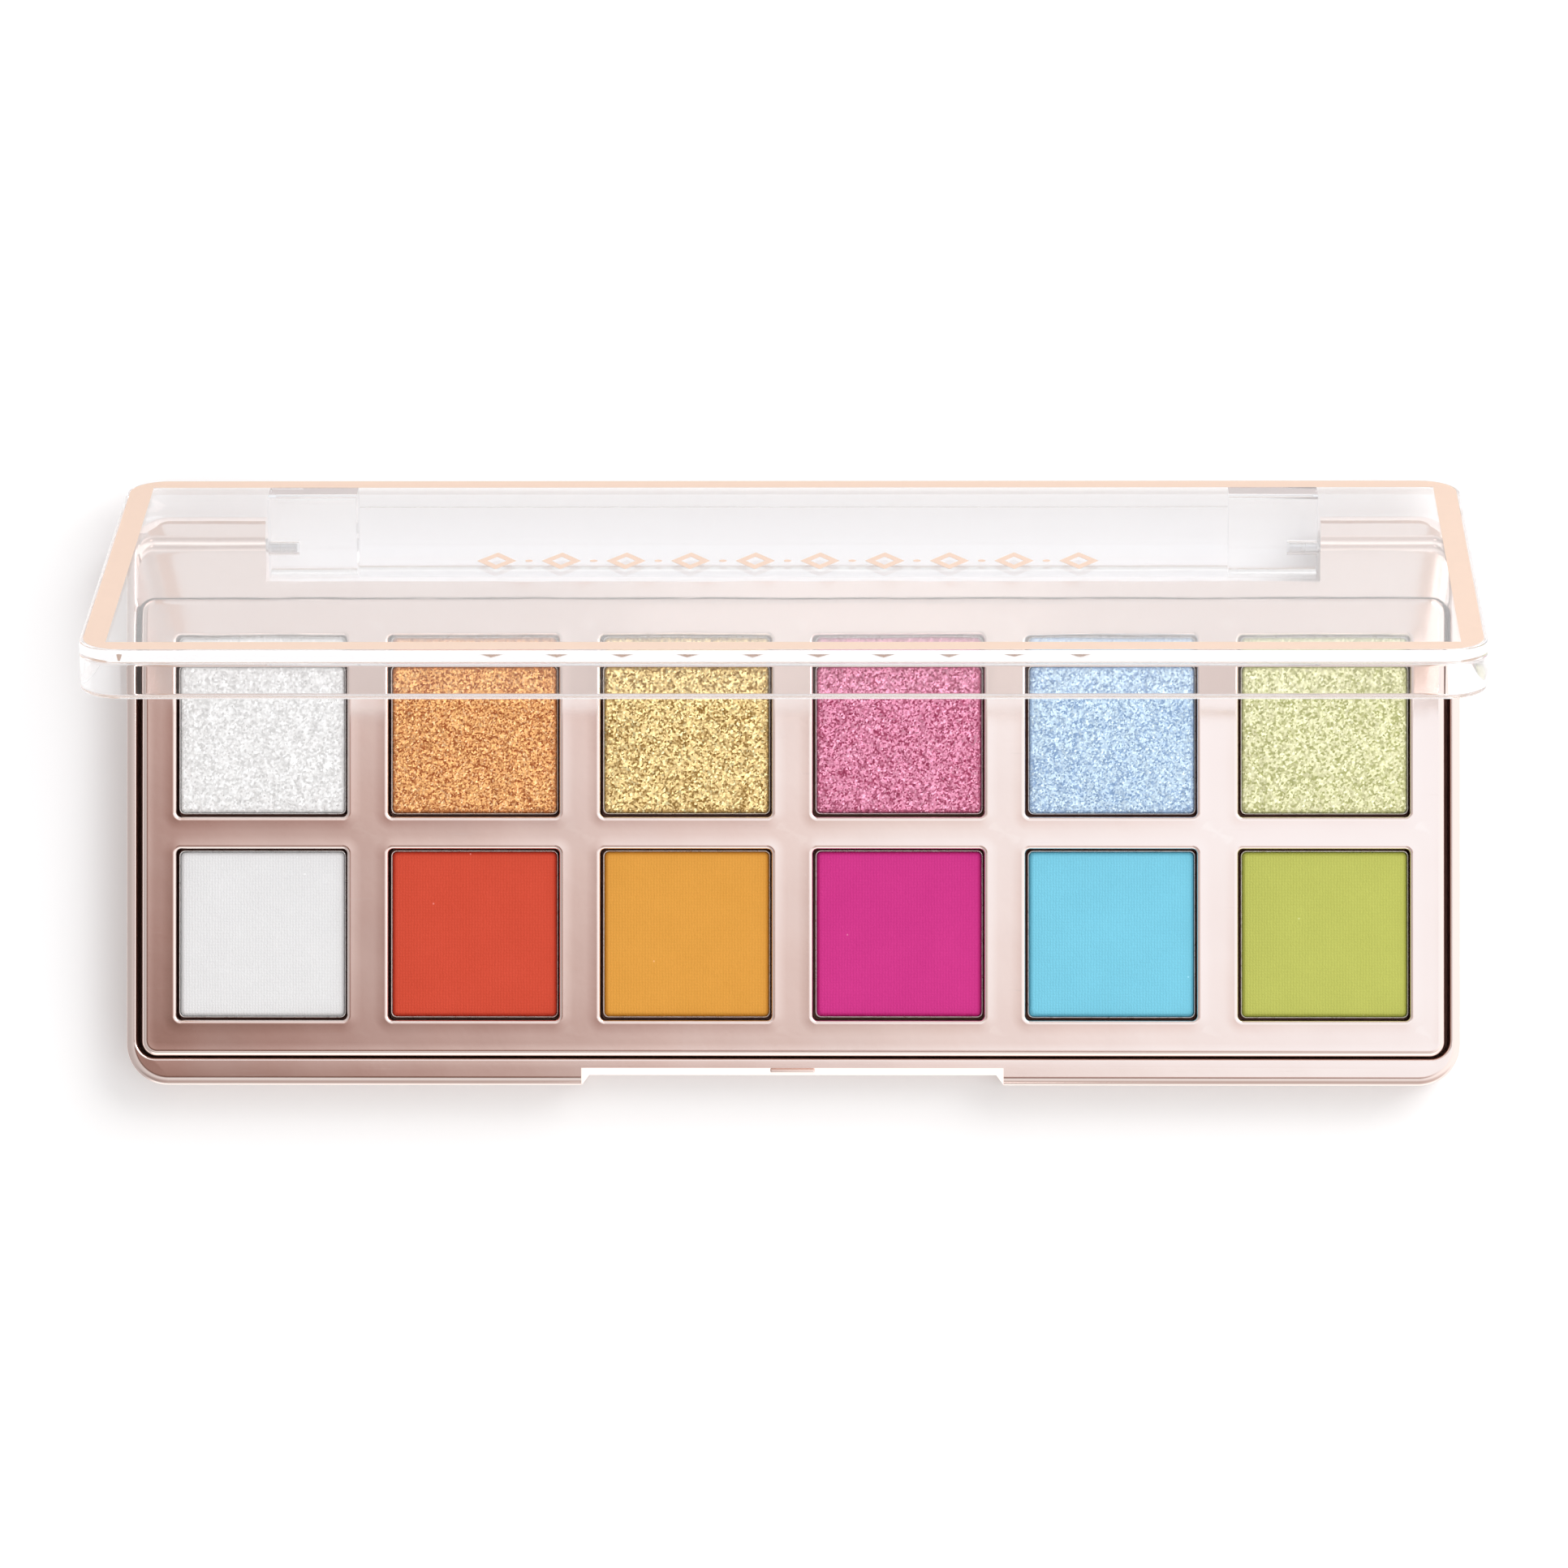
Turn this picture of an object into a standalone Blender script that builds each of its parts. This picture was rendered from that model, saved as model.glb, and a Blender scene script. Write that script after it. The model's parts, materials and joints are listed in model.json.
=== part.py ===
"""Eyeshadow palette with twelve square pans and a clear hinged lid.

Origin at the centre of the base's underside, +X to the right, +Y to the hinge side, +Z up, in metres.
The lid is modelled closed and its empty, which lies on the hinge axis, then opens it.
"""

import math

import bmesh
import bpy
from mathutils import Matrix

MM = 0.001

# Overall sizes
WIDTH = 161.0 * MM
DEPTH = 68.0 * MM
CORNER = 5.0 * MM
LAND_Z = 6.6 * MM
DECK_Z = 7.4 * MM
LID_RIM_Z = 6.7 * MM
LID_TOP_Z = 12.6 * MM

# Base shell
FLOOR = 1.2 * MM
SIDE_LAND = 1.25 * MM
FRONT_LAND = 3.3 * MM
POCKET_CORNER = 2.2 * MM
SHELF_Z = 5.6 * MM
SHELF_END_Y = 30.8 * MM
SHELF_SLOPE = 1.9 * MM
NOTCH_WIDTH = 51.0 * MM
NOTCH_DEPTH = 1.2 * MM
NOTCH_END = 0.9 * MM
NOTCH_LEDGE_DEPTH = 2.1 * MM
NOTCH_LEDGE_Z = 5.2 * MM
NIB = (5.4 * MM, 0.5 * MM, 0.4 * MM)

# Pan tray
TRAY_SIDE_GAP = 0.65 * MM
TRAY_END_GAP = 0.25 * MM
TRAY_BACK_Y = 23.4 * MM
TRAY_CORNER = 1.8 * MM
TRAY_UNDER_Z = 1.5 * MM
TRAY_WALL = 1.2 * MM
DECK_THICKNESS = 1.4 * MM
WELL = 20.7 * MM
WELL_CORNER = 0.6 * MM
WELL_FLOOR_Z = 2.6 * MM
CUP_WALL = 0.9 * MM

# Pans, powders and glue
COLUMNS = 6
COLUMN_PITCH = 25.64 * MM
ROW_Y = (8.74 * MM, -15.8 * MM)
STACK_GAP = 0.1 * MM
GLUE_RADIUS = 4.5 * MM
GLUE_THICKNESS = 0.4 * MM
PAN = 20.2 * MM
PAN_CORNER = 0.7 * MM
PAN_WALL = 0.2 * MM
PAN_RIM_Z = 6.75 * MM
POWDER_GAP = 0.05 * MM
POWDER_EDGE = 0.3 * MM
POWDER_TOP_Z = 6.95 * MM

# Lid and hinge
LID_PLATE = 1.8 * MM
LID_SIDE_WALL = 1.2 * MM
LID_FRONT_WALL = 2.2 * MM
LID_INNER_CORNER = 3.9 * MM
HINGE_Y = 30.0 * MM
HINGE_Z = 4.2 * MM
BARREL = 4.0 * MM
SKIRT_HALF = 63.3 * MM
SKIRT_WALL = 1.5 * MM
KNUCKLE_WIDTH = 10.7 * MM
KNUCKLE_FRONT_Y = 27.2 * MM
CUTOUT_HALF = 63.7 * MM
CUTOUT_Y = 25.6 * MM
PIN_RADIUS = 0.8 * MM
PIN_INNER_X = 60.0 * MM
PIN_LENGTH = 8.0 * MM
BORE_PLAY = 0.12 * MM
BORE_END = 0.3 * MM
OPEN_ANGLE = math.radians(71.0)

# Rear of the base, which the lid's rear wall swings round
SWING_GAP = 0.3 * MM
FOOT_END_Y = 31.8 * MM

SPARE = 1.0 * MM  # how far a cutter runs past what it cuts

# name, colour, roughness, metallic, transmission
ROSE_GOLD = ("rose_gold", (0.72, 0.46, 0.40), 0.22, 1.0, 0.0)
TINPLATE = ("tinplate", (0.70, 0.70, 0.70), 0.30, 1.0, 0.0)
STEEL = ("pin_steel", (0.60, 0.60, 0.61), 0.30, 1.0, 0.0)
GLUE = ("glue", (0.85, 0.83, 0.75), 0.45, 0.0, 0.0)
CLEAR = ("clear_plastic", (0.97, 0.97, 0.97), 0.05, 0.0, 1.0)
SHIMMERS = (
    ("silver_white", (0.80, 0.81, 0.80)),
    ("copper_orange", (0.70, 0.26, 0.09)),
    ("gold_foil", (0.67, 0.47, 0.14)),
    ("pink_shimmer", (0.62, 0.12, 0.27)),
    ("ice_blue", (0.30, 0.49, 0.80)),
    ("lime_shimmer", (0.58, 0.66, 0.27)),
)
MATTES = (
    ("matte_white", (0.84, 0.84, 0.84)),
    ("matte_red", (0.72, 0.08, 0.035)),
    ("matte_mustard", (0.73, 0.36, 0.045)),
    ("matte_magenta", (0.67, 0.025, 0.24)),
    ("matte_sky", (0.10, 0.56, 0.74)),
    ("matte_green", (0.43, 0.50, 0.045)),
)


def clear_scene():
    for item in list(bpy.data.objects):
        bpy.data.objects.remove(item, do_unlink=True)


def make_collection(name):
    collection = bpy.data.collections.new(name)
    bpy.context.scene.collection.children.link(collection)
    return collection


def make_material(name, colour, roughness, metallic=0.0, transmission=0.0):
    material = bpy.data.materials.new(name)
    material.use_nodes = True
    shader = material.node_tree.nodes["Principled BSDF"]
    shader.inputs["Base Color"].default_value = (*colour, 1.0)
    shader.inputs["Roughness"].default_value = roughness
    shader.inputs["Metallic"].default_value = metallic
    shader.inputs["Transmission Weight"].default_value = transmission
    material.diffuse_color = (*colour, 1.0)
    return material


def place(bm, name, collection, smooth_angle=35.0):
    """Makes an object from a bmesh, shaded smooth except at its sharp edges."""
    mesh = bpy.data.meshes.new(name)
    bm.to_mesh(mesh)
    bm.free()
    mesh.shade_smooth()
    mesh.set_sharp_from_angle(angle=math.radians(smooth_angle))
    made = bpy.data.objects.new(name, mesh)
    collection.objects.link(made)
    return made


def hide_cutter(cutter):
    cutter.display_type = "WIRE"
    cutter.hide_render = True
    return cutter


def box_bmesh(x, y, z):
    """A box between the given (low, high) bounds."""
    bm = bmesh.new()
    size = [high - low for low, high in (x, y, z)]
    centre = [(high + low) / 2 for low, high in (x, y, z)]
    bmesh.ops.create_cube(bm, size=1.0, matrix=Matrix.Translation(centre) @ Matrix.Diagonal((*size, 1.0)))
    return bm


def soften(bm, edges, radius, segments):
    bmesh.ops.bevel(bm, geom=edges, offset=radius, segments=segments, profile=0.5, affect="EDGES")


def edges_at_height(bm, height):
    return [e for e in bm.edges if all(abs(v.co.z - height) < 1e-7 for v in e.verts)]


def rounded_box(x, y, z, corner, top=0.0, bottom=0.0, corner_segments=6, rim_segments=2):
    """A box with rounded upright corners, and a softened top or bottom rim where its radius is given."""
    bm = box_bmesh(x, y, z)
    upright = [e for e in bm.edges if abs(e.verts[0].co.z - e.verts[1].co.z) > 1e-6]
    soften(bm, upright, corner, corner_segments)
    for radius, height in ((top, z[1]), (bottom, z[0])):
        if radius > 0.0:
            soften(bm, edges_at_height(bm, height), radius, rim_segments)
    return bm


def extruded_profile(outline, x):
    """A solid of the closed (y, z) outline, given anticlockwise, drawn out along X between the (low, high) bounds."""
    bm = bmesh.new()
    face = bm.faces.new([bm.verts.new((x[0], py, pz)) for py, pz in outline])
    drawn = bmesh.ops.extrude_face_region(bm, geom=[face])["geom"]
    moved = [v for v in drawn if isinstance(v, bmesh.types.BMVert)]
    bmesh.ops.translate(bm, verts=moved, vec=(x[1] - x[0], 0.0, 0.0))
    bmesh.ops.recalc_face_normals(bm, faces=bm.faces)
    return bm


def x_cylinder(radius, x, y, z, segments=16):
    """A closed cylinder along X between the (low, high) bounds of x."""
    bm = bmesh.new()
    centre = Matrix.Translation(((x[0] + x[1]) / 2, y, z))
    turn = Matrix.Rotation(math.pi / 2, 4, "Y")
    bmesh.ops.create_cone(
        bm,
        cap_ends=True,
        segments=segments,
        radius1=radius,
        radius2=radius,
        depth=x[1] - x[0],
        matrix=centre @ turn,
    )
    return bm


def combine(target, tool, operation):
    modifier = target.modifiers.new(tool.name, "BOOLEAN")
    modifier.operation = operation
    modifier.solver = "EXACT"
    modifier.object = tool
    return target


def cut(target, bm, name, cutters):
    return combine(target, hide_cutter(place(bm, name, cutters)), "DIFFERENCE")


def join(target, bm, name, cutters):
    return combine(target, hide_cutter(place(bm, name, cutters)), "UNION")


def bounds(centre, size):
    return (centre - size / 2, centre + size / 2)


def both_sides(low, high):
    """The (low, high) bounds of a span in X, on the right and mirrored on the left."""
    return (("right", (low, high)), ("left", (-high, -low)))


def pan_places():
    """Row, column, x and y of each pan, back row first and left to right."""
    for row, y in enumerate(ROW_Y):
        for column in range(COLUMNS):
            yield row, column, (column - (COLUMNS - 1) / 2) * COLUMN_PITCH, y


def pan_name(kind, row, column):
    return f"{kind}_{('back', 'front')[row]}_{column + 1}"


def arc(centre_u, centre_v, radius, start, end, steps):
    """Points of an arc in a plane, with its angles in degrees anticlockwise from the first axis."""
    for i in range(steps + 1):
        angle = math.radians(start + (end - start) * i / steps)
        yield centre_u + radius * math.cos(angle), centre_v + radius * math.sin(angle)


def turned_nose(side, cutters):
    """A closed solid turned about the hinge axis, just inside the sweep of the lid's inner rear corner."""
    corner_x = WIDTH / 2 - LID_SIDE_WALL - LID_INNER_CORNER
    corner_y = DEPTH / 2 - LID_SIDE_WALL - LID_INNER_CORNER
    rim_height = LID_RIM_Z - HINGE_Z
    end_radius = rim_height - SWING_GAP
    profile = [(0.0, WIDTH / 2 + 2 * SPARE), (end_radius, WIDTH / 2 + 2 * SPARE)]
    for across, along in arc(corner_x, corner_y, LID_INNER_CORNER, 0.0, 90.0, 6):
        behind_axis = max(along - HINGE_Y, 0.0)
        profile.append((math.hypot(behind_axis, rim_height) - SWING_GAP, across))
    profile += [(profile[-1][0], CUTOUT_HALF - 2 * SPARE), (0.0, CUTOUT_HALF - 2 * SPARE)]
    bm = bmesh.new()
    verts = [bm.verts.new((radius, 0.0, across)) for radius, across in profile]
    for first, second in zip(verts, verts[1:]):
        bm.edges.new((first, second))
    nose = place(bm, f"nose_{side}", cutters)
    screw = nose.modifiers.new("turn", "SCREW")
    screw.steps = screw.render_steps = 40
    screw.use_merge_vertices = True
    screw.merge_threshold = 0.000001
    nose.rotation_euler = (0.0, math.pi / 2 if side == "right" else -math.pi / 2, 0.0)
    nose.location = (0.0, HINGE_Y, HINGE_Z)
    return hide_cutter(nose)


def shelf_recess():
    """The recess behind the tray. Its rear wall slopes back up to the rim."""
    x_half = WIDTH / 2 - SIDE_LAND
    low, high = SHELF_Z, LAND_Z + SPARE
    reach = SHELF_SLOPE * (high - low) / (LAND_Z - SHELF_Z)
    front = TRAY_BACK_Y - 2 * SPARE
    bm = rounded_box((-x_half, x_half), (front, SHELF_END_Y - SHELF_SLOPE + reach), (low, high), POCKET_CORNER)
    for vert in bm.verts:
        if vert.co.y > front + POCKET_CORNER + SPARE and vert.co.z < low + 1e-7:
            vert.co.y -= reach
    return bm


def thumb_notch():
    """The notch in the front wall. Its ends slant in towards the back."""
    front, half = -DEPTH / 2, NOTCH_WIDTH / 2
    slant = NOTCH_END / NOTCH_DEPTH
    bm = box_bmesh((-half, half), (front - SPARE, front + NOTCH_DEPTH), (-SPARE, LAND_Z + SPARE))
    for vert in bm.verts:
        vert.co.x = math.copysign(half - slant * (vert.co.y - front), vert.co.x)
    return bm


def notch_ledge():
    """The wider step above the notch, cut back into the land."""
    front, half = -DEPTH / 2, NOTCH_WIDTH / 2
    return box_bmesh((-half, half), (front - SPARE, front + NOTCH_LEDGE_DEPTH), (NOTCH_LEDGE_Z, LAND_Z + SPARE))


def build_base_shell(parts, cutters, finish):
    half_w, half_d = WIDTH / 2, DEPTH / 2
    shell = place(
        rounded_box(
            (-half_w, half_w),
            (-half_d, half_d),
            (0.0, LAND_Z),
            CORNER,
            top=0.5 * MM,
            bottom=0.8 * MM,
            corner_segments=8,
        ),
        "base_shell",
        parts,
    )
    shell.data.materials.append(finish)
    pocket_x = half_w - SIDE_LAND
    pocket_y = (-half_d + FRONT_LAND, TRAY_BACK_Y + TRAY_END_GAP)
    pocket = rounded_box((-pocket_x, pocket_x), pocket_y, (FLOOR, LAND_Z + SPARE), POCKET_CORNER)
    cut(shell, pocket, "tray_pocket", cutters)
    cut(shell, shelf_recess(), "shelf_recess", cutters)
    hinge_gap = box_bmesh((-CUTOUT_HALF, CUTOUT_HALF), (CUTOUT_Y, half_d + SPARE), (-SPARE, LAND_Z + SPARE))
    cut(shell, hinge_gap, "hinge_gap", cutters)
    cut(shell, thumb_notch(), "thumb_notch", cutters)
    cut(shell, notch_ledge(), "notch_ledge", cutters)
    nib_y = -half_d + NOTCH_DEPTH + 0.25 * MM
    nib = box_bmesh(
        bounds(0.0, NIB[0]), (nib_y, nib_y + NIB[1]), (NOTCH_LEDGE_Z - NIB[2], NOTCH_LEDGE_Z + NIB[2])
    )
    join(shell, nib, "catch_nib", cutters)
    for side, x in both_sides(CUTOUT_HALF - SPARE, half_w + SPARE):
        swing = place(
            box_bmesh(x, (HINGE_Y, half_d + SPARE), (-SPARE, LAND_Z + SPARE)), f"swing_{side}", cutters
        )
        combine(hide_cutter(swing), turned_nose(side, cutters), "DIFFERENCE")
        wider = (x[0] - SPARE, x[1] + SPARE)
        cut(swing, box_bmesh(wider, (HINGE_Y - SPARE, FOOT_END_Y), (-2 * SPARE, HINGE_Z)), f"foot_{side}", cutters)
        combine(shell, swing, "DIFFERENCE")
    bore_end = PIN_INNER_X + PIN_LENGTH + BORE_END
    for side, x in both_sides(CUTOUT_HALF - SPARE, bore_end):
        cut(shell, x_cylinder(PIN_RADIUS + BORE_PLAY, x, HINGE_Y, HINGE_Z), f"base_bore_{side}", cutters)
    return shell


def build_pan_tray(parts, cutters, finish):
    half = WIDTH / 2 - SIDE_LAND - TRAY_SIDE_GAP
    front = -DEPTH / 2 + FRONT_LAND + TRAY_END_GAP
    tray = place(
        rounded_box((-half, half), (front, TRAY_BACK_Y), (TRAY_UNDER_Z, DECK_Z), TRAY_CORNER, top=0.6 * MM),
        "pan_tray",
        parts,
    )
    tray.data.materials.append(finish)
    inner = half - TRAY_WALL
    hollow = place(
        box_bmesh(
            (-inner, inner),
            (front + TRAY_WALL, TRAY_BACK_Y - TRAY_WALL),
            (TRAY_UNDER_Z - SPARE, DECK_Z - DECK_THICKNESS),
        ),
        "tray_hollow",
        cutters,
    )
    hide_cutter(hollow)
    cup = WELL + 2 * CUP_WALL
    for row, column, x, y in pan_places():
        block = box_bmesh(bounds(x, cup), bounds(y, cup), (TRAY_UNDER_Z - 2 * SPARE, DECK_Z))
        cut(hollow, block, pan_name("cup", row, column), cutters)
    combine(tray, hollow, "DIFFERENCE")
    for row, column, x, y in pan_places():
        well = rounded_box(
            bounds(x, WELL), bounds(y, WELL), (WELL_FLOOR_Z, DECK_Z + SPARE), WELL_CORNER, corner_segments=3
        )
        cut(tray, well, pan_name("well", row, column), cutters)
    return tray


def build_pan(name, x, y, parts, cutters, finish):
    bottom = WELL_FLOOR_Z + GLUE_THICKNESS + 2 * STACK_GAP
    pan = place(
        rounded_box(bounds(x, PAN), bounds(y, PAN), (bottom, PAN_RIM_Z), PAN_CORNER, corner_segments=4),
        name,
        parts,
    )
    pan.data.materials.append(finish)
    inner = PAN - 2 * PAN_WALL
    hollow = rounded_box(
        bounds(x, inner),
        bounds(y, inner),
        (bottom + PAN_WALL, PAN_RIM_Z + SPARE),
        PAN_CORNER - PAN_WALL,
        corner_segments=4,
    )
    return cut(pan, hollow, f"hollow_{name}", cutters)


def build_powder(name, x, y, parts, finish):
    """A pressed cake with softened top edges that stands a little above the pan's rim."""
    bottom = WELL_FLOOR_Z + GLUE_THICKNESS + 3 * STACK_GAP + PAN_WALL
    size = PAN - 2 * PAN_WALL - 2 * POWDER_GAP
    corner = PAN_CORNER - PAN_WALL - POWDER_GAP
    bm = rounded_box(
        bounds(x, size), bounds(y, size), (bottom, POWDER_TOP_Z), corner, top=POWDER_EDGE, corner_segments=4
    )
    powder = place(bm, name, parts)
    powder.data.materials.append(finish)
    return powder


def build_glue_dot(name, x, y, parts, finish):
    bm = bmesh.new()
    centre = Matrix.Translation((x, y, WELL_FLOOR_Z + STACK_GAP + GLUE_THICKNESS / 2))
    bmesh.ops.create_cone(
        bm,
        cap_ends=True,
        segments=16,
        radius1=GLUE_RADIUS,
        radius2=GLUE_RADIUS,
        depth=GLUE_THICKNESS,
        matrix=centre,
    )
    dot = place(bm, name, parts)
    dot.data.materials.append(finish)
    return dot


def skirt_profile():
    """The lid's rear wall carried down and round under the hinge axis."""
    top = LID_RIM_Z + 1.5 * SPARE
    inner = BARREL - SKIRT_WALL
    outline = [(HINGE_Y + inner, top)]
    outline += arc(HINGE_Y, HINGE_Z, inner, 0.0, -90.0, 8)
    outline += arc(HINGE_Y, HINGE_Z, BARREL, -90.0, 0.0, 10)
    outline.append((HINGE_Y + BARREL, top))
    return outline


def knuckle_profile():
    """A solid block from the lid's plate down round the hinge axis."""
    top = LID_TOP_Z - LID_PLATE / 2
    front = math.degrees(math.acos((KNUCKLE_FRONT_Y - HINGE_Y) / BARREL))
    outline = [(KNUCKLE_FRONT_Y, top)]
    outline += arc(HINGE_Y, HINGE_Z, BARREL, -front, 0.0, 14)
    outline.append((HINGE_Y + BARREL, top))
    return outline


def build_lid(parts, cutters, finish):
    half_w, half_d = WIDTH / 2, DEPTH / 2
    lid = place(
        rounded_box(
            (-half_w, half_w),
            (-half_d, half_d),
            (LID_RIM_Z, LID_TOP_Z),
            CORNER,
            top=0.45 * MM,
            corner_segments=8,
        ),
        "lid_shell",
        parts,
    )
    lid.data.materials.append(finish)
    inner = half_w - LID_SIDE_WALL
    cavity = rounded_box(
        (-inner, inner),
        (-half_d + LID_FRONT_WALL, half_d - LID_SIDE_WALL),
        (LID_RIM_Z - SPARE, LID_TOP_Z - LID_PLATE),
        LID_INNER_CORNER,
    )
    cut(lid, cavity, "lid_cavity", cutters)
    join(lid, extruded_profile(skirt_profile(), (-SKIRT_HALF, SKIRT_HALF)), "hinge_skirt", cutters)
    for side, x in both_sides(SKIRT_HALF - KNUCKLE_WIDTH, SKIRT_HALF):
        join(lid, extruded_profile(knuckle_profile(), x), f"knuckle_{side}", cutters)
    for side, x in both_sides(PIN_INNER_X - BORE_END, SKIRT_HALF + SPARE):
        cut(lid, x_cylinder(PIN_RADIUS + BORE_PLAY, x, HINGE_Y, HINGE_Z), f"lid_bore_{side}", cutters)
    return lid


def build_pins(parts, finish):
    for side, x in both_sides(PIN_INNER_X, PIN_INNER_X + PIN_LENGTH):
        pin = place(x_cylinder(PIN_RADIUS, x, HINGE_Y, HINGE_Z), f"hinge_pin_{side}", parts)
        pin.data.materials.append(finish)


def open_lid(lid, cutters, parts):
    """Hangs the lid and its tools on an empty on the hinge axis, and swings it open."""
    hinge = bpy.data.objects.new("lid_hinge_axis", None)
    hinge.location = (0.0, HINGE_Y, HINGE_Z)
    parts.objects.link(hinge)
    tools = [m.object for m in lid.modifiers]
    for child in [lid, *tools]:
        child.parent = hinge
        child.matrix_parent_inverse = Matrix.Translation((0.0, -HINGE_Y, -HINGE_Z))
    hinge.rotation_euler = (-OPEN_ANGLE, 0.0, 0.0)


def main():
    clear_scene()
    parts = make_collection("eyeshadow_palette")
    cutters = make_collection("cutters")
    rose_gold = make_material(*ROSE_GOLD)
    tinplate = make_material(*TINPLATE)
    glue = make_material(*GLUE)
    build_base_shell(parts, cutters, rose_gold)
    build_pan_tray(parts, cutters, rose_gold)
    for row, column, x, y in pan_places():
        shade, colour = (SHIMMERS, MATTES)[row][column]
        powder_finish = make_material(shade, colour, (0.45, 0.90)[row])
        build_glue_dot(pan_name("glue_dot", row, column), x, y, parts, glue)
        build_pan(pan_name("pan", row, column), x, y, parts, cutters, tinplate)
        build_powder(pan_name("powder", row, column), x, y, parts, powder_finish)
    build_pins(parts, make_material(*STEEL))
    lid = build_lid(parts, cutters, make_material(*CLEAR))
    open_lid(lid, cutters, parts)


main()
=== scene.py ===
"""Looks of the eyeshadow palette: fine shells, pressed powders, clear lid, printed border, studio.

Everything is in metres in the CAD frame: +X right, +Y to the hinge, +Z up, the lid open at rest.
The lid's pieces are modelled closed and then swung open about the hinge joint.
"""

import json
import math

import bmesh
import bpy
import numpy as np
from mathutils import Matrix, Vector, noise


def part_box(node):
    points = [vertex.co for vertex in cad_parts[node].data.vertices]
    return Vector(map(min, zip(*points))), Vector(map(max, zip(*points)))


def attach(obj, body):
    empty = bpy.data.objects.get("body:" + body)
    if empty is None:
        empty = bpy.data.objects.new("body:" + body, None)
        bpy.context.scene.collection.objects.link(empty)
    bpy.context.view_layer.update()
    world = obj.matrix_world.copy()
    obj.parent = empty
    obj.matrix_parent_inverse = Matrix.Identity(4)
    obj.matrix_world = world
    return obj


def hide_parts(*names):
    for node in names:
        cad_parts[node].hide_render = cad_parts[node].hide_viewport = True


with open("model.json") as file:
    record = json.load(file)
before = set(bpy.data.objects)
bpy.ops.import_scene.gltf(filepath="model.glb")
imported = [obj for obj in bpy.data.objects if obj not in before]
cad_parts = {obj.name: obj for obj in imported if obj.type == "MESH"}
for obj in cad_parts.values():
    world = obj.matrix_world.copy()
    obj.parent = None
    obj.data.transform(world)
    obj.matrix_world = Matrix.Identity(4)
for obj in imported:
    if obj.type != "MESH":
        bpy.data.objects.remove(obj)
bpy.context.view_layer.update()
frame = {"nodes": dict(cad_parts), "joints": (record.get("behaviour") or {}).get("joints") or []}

MM = 0.001
COLUMNS = 6
ROWS = ("back", "front")

# Places read from the frame
base_low, base_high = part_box("base_shell")
tray_low, tray_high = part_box("pan_tray")
pan_low, pan_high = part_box("pan_back_1")
hinge = next(j for j in frame["joints"] if j["name"] == "lid_hinge")
HINGE_AT = Vector(hinge["pos_m"])
CLOSE = Matrix.Translation(HINGE_AT) @ Matrix.Rotation(
    math.radians(hinge["range_deg"][0]), 4, Vector(hinge["axis"])
) @ Matrix.Translation(-HINGE_AT)
OPEN = CLOSE.inverted()

HALF_W = base_high.x
HALF_D = -base_low.y
LAND_Z = 6.6 * MM
DECK_Z = tray_high.z
PAN_RIM_Z = pan_high.z

# Base shell
CORNER = 5.0 * MM
FLOOR = 1.2 * MM
SIDE_LAND = 1.25 * MM
FRONT_LAND = 3.3 * MM
POCKET_CORNER = 2.2 * MM
SHELF_Z = 5.6 * MM
SHELF_END_Y = 30.8 * MM
SHELF_SLOPE = 1.9 * MM
POCKET_BACK_GAP = 0.25 * MM
OUTER_FILLET = 0.15 * MM
OUTER_ROLL = 2.4 * MM  # radius of the soft roll inside the outer edge
ROLL_SLOPE = 25.0  # degrees, where the roll meets the edge
FOOT_FILLET = 0.8 * MM
INNER_FILLET = 0.35 * MM
BASE_EDGE_ROUND = 0.1 * MM
NOTCH_HALF = 25.5 * MM
NOTCH_DEPTH = 1.2 * MM
NOTCH_END = 0.9 * MM
LEDGE_DEPTH = 2.1 * MM
LEDGE_Z = 5.2 * MM
LEDGE_LIFT = 0.3 * MM  # how far the ledge's rear edge stands over LEDGE_Z
LEDGE_SLOPE = 38.0  # degrees
NIB = (5.4 * MM, 0.5 * MM, 0.4 * MM)  # width, depth, height over LEDGE_Z
NIB_SETBACK = 0.25 * MM
NIB_CORNER = 0.24 * MM
NIB_ROUND = 0.22 * MM
NIB_ROOT = 0.9 * MM
CUTOUT_HALF = 63.7 * MM
CUTOUT_Y = 25.6 * MM
SWING_GAP = 0.3 * MM
FOOT_END_Y = 31.8 * MM

# Tray
TRAY_CORNER = 1.8 * MM
TRAY_FILLET = 0.6 * MM
WELL = 20.7 * MM
WELL_CORNER = 0.6 * MM
WELL_FLOOR_Z = 2.6 * MM
WELL_FILLET = 0.3 * MM
COLUMN_PITCH = 25.64 * MM
ROW_Y = (8.74 * MM, -15.8 * MM)
LIP_WIDTH = 1.5 * MM
LIP_RISE = 0.011 * MM
RIM_LIP_WIDTH = 0.95 * MM
RIM_LIP_RISE = 0.006 * MM

# Pans and powders
PAN = pan_high.x - pan_low.x
PAN_CORNER = 0.7 * MM
PAN_WALL = 0.13 * MM
PAN_FOOT_FILLET = 0.3 * MM
PAN_CHAMFER = (0.5 * MM, 0.4 * MM)  # inside, at the floor: inset and height
POWDER_GAP = 0.04 * MM  # both sides together
POWDER = PAN - 2 * PAN_WALL - POWDER_GAP
POWDER_EDGE = 0.4 * MM
POWDER_CROWN = 0.18 * MM
POWDER_SINK = 0.08 * MM  # how far the edge of the cake starts below the rim
POWDER_FOOT = 0.45 * MM
POWDER_BAND = (0.55 * MM, 0.2 * MM)  # where the darker band along the rim starts, and is whole
SHIMMER_CELLS = 110
MATTE_CELLS = 56

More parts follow.
